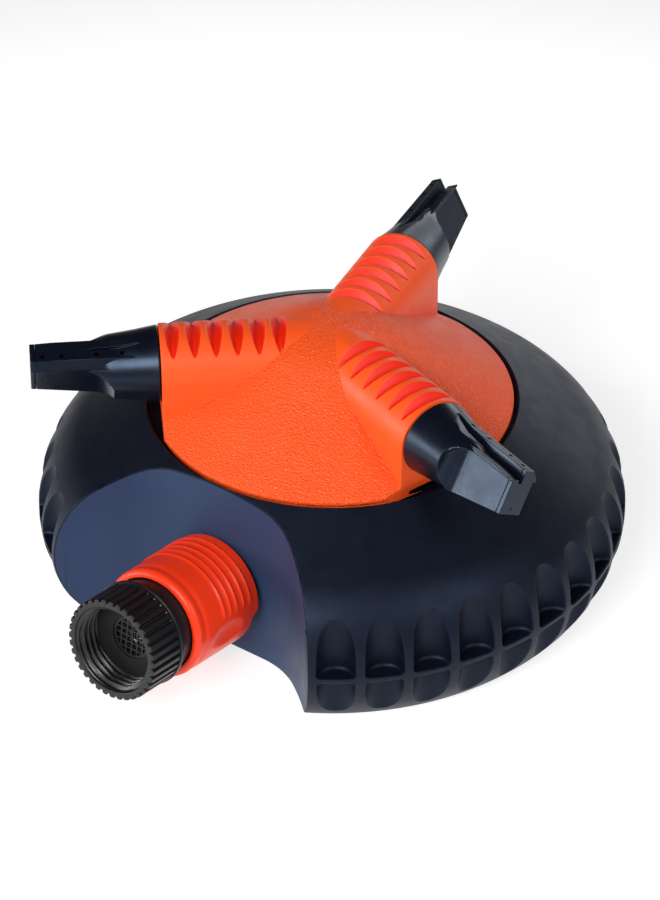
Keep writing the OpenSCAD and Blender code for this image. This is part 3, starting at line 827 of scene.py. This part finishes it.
def make_rotor_cover():
    depth = ARM_HEIGHT - COVER_FLOOR
    foot = [(-depth + 0.1, SOCKET_R), (-depth + 0.1, -SOCKET_R)]
    socket = prism("socket", arc((0, 0), SOCKET_R, -90, 90, 48) + foot, 5, SOCKET_END)
    cut(socket, grip_grooves())

    def meets_skin(edge):
        return any(socket.data.materials[f.material_index].name == "socket" for f in edge.link_faces)

    round_edges(socket, 0.25, angle=28, keep=meets_skin)
    cover = revolve("cone", cover_profile(0, COVER_FLOOR), 256)
    for n in range(3):
        flat = prism("flat", [(-40, -40), (20, -40), (20, 40), (-40, 40)], SOCKET_END - 0.02, 70)
        flat.data.transform(arm_place(n))
        cut(cover, flat)
    round_edges(cover, 0.25, angle=28)
    for n in range(3):
        cut(cover, copy_of(socket, "socket", arm_place(n)), "UNION")
    bpy.data.objects.remove(socket)
    cut(cover, revolve("hollow", cover_profile(COVER_WALL, COVER_FLOOR - 5), 128))
    for n in range(3):
        bore = rod("bore", SOCKET_BORE, 17, SOCKET_END + 2, 64)
        bore.data.transform(arm_place(n))
        cut(cover, bore)

    def joins_socket(edge):
        names = {cover.data.materials[f.material_index].name for f in edge.link_faces}
        middle = (edge.verts[0].co + edge.verts[1].co) / 2
        return "cone" in names and "socket" in names and middle.xy.length > 14 * MM

    round_edges(cover, 0.3, angle=15, keep=joins_socket)
    # cone faces are tagged for leather grain, groove faces for painted shade
    tag_grain_and_painted_light(cover, {"cone": 1.0, "groove": -1.0})
    return finish_piece(cover, "rotor_orange", "rotor", "rotor_cap")


make_rotor_cover()
make_hose_nut()
make_collar()
make_spring("collar_coil", 14.8, 1.0, 66.3, 83.0, 7, "stainless", "collar", "collar_spring")
make_nozzles()


# ---- stage ----

def area_light(name, place, target, size, power):
    data = bpy.data.lights.new(name, "AREA")
    data.shape = "RECTANGLE"
    data.size, data.size_y = size
    data.energy = power
    light = bpy.data.objects.new(name, data)
    light.location = place
    light.rotation_mode = "QUATERNION"
    light.rotation_quaternion = (Vector(target) - Vector(place)).to_track_quat("-Z", "Y")
    bpy.context.scene.collection.objects.link(light)
    return light


# The floor's own light, the distances between which it fades, and what is left of it beyond
FLOOR_GLOW, GLOW_FADE, FAR_SHARE = 0.72, (0.3, 0.62), 0.15


def make_stage():
    mesh = bpy.data.meshes.new("floor")
    half = 4
    mesh.from_pydata([(-half, -half, 0), (half, -half, 0), (half, half, 0), (-half, half, 0)],
                     [], [(0, 1, 2, 3)])
    floor = bpy.data.objects.new("floor", mesh)
    finish = new_material("pale_floor", (0.45, 0.45, 0.45), 0.8,
                          Emission_Color=(1, 1, 1, 1), Specular_IOR_Level=0.1)
    away = add_node(finish, "VectorMath")
    away.operation = "LENGTH"
    link(finish, object_place(finish), away.inputs[0])
    link(finish, remap(finish, away.outputs["Value"], *GLOW_FADE, FLOOR_GLOW, FLOOR_GLOW * FAR_SHARE),
         shader_of(finish).inputs["Emission Strength"])
    floor.data.materials.append(finish)
    bpy.context.scene.collection.objects.link(floor)
    area_light("back_softbox", (-0.1, 1.3, 0.42), (0, 0.02, 0.04), (1.4, 0.35), 5)
    area_light("front_softbox", (0.25, -1.3, 1.0), (0, 0, 0.03), (0.8, 0.6), 23)
    area_light("left_softbox", (-1.0, -0.8, 0.24), (-0.03, -0.03, 0.05), (0.6, 0.35), 7)
    area_light("right_softbox", (1.15, -0.1, 0.8), (0.03, 0, 0.03), (0.4, 0.6), 6)
    make_world()


def make_world():
    """A studio whose walls are white near the floor and dim overhead."""
    world = bpy.data.worlds.new("studio")
    world.use_nodes = True
    tree = world.node_tree
    place = tree.nodes.new("ShaderNodeTexCoord")
    split = tree.nodes.new("ShaderNodeSeparateXYZ")
    ramp = tree.nodes.new("ShaderNodeMapRange")
    for name, number in (("From Min", 0.0), ("From Max", 0.5), ("To Min", 0.12), ("To Max", 0.02)):
        ramp.inputs[name].default_value = number
    tree.links.new(place.outputs["Generated"], split.inputs["Vector"])
    tree.links.new(split.outputs["Z"], ramp.inputs["Value"])
    tree.links.new(ramp.outputs["Result"], tree.nodes["Background"].inputs["Strength"])
    tree.nodes["Background"].inputs["Color"].default_value = (1, 1, 1, 1)
    bpy.context.scene.world = world


def make_camera():
    azimuth = math.radians(CAMERA_AZIMUTH)
    elevation = math.radians(CAMERA_ELEVATION)
    back = Vector((math.sin(azimuth) * math.cos(elevation),
                   -math.cos(azimuth) * math.cos(elevation), math.sin(elevation)))
    data = bpy.data.cameras.new("camera")
    data.lens = CAMERA_LENS
    data.clip_start, data.clip_end = 0.05, 20
    camera = bpy.data.objects.new("camera", data)
    camera.location = CAMERA_TARGET + back * CAMERA_DISTANCE
    camera.rotation_mode = "QUATERNION"
    camera.rotation_quaternion = (-back).to_track_quat("-Z", "Y")
    bpy.context.scene.collection.objects.link(camera)
    bpy.context.scene.camera = camera


make_stage()
make_camera()
bpy.context.scene.view_settings.view_transform = "Standard"
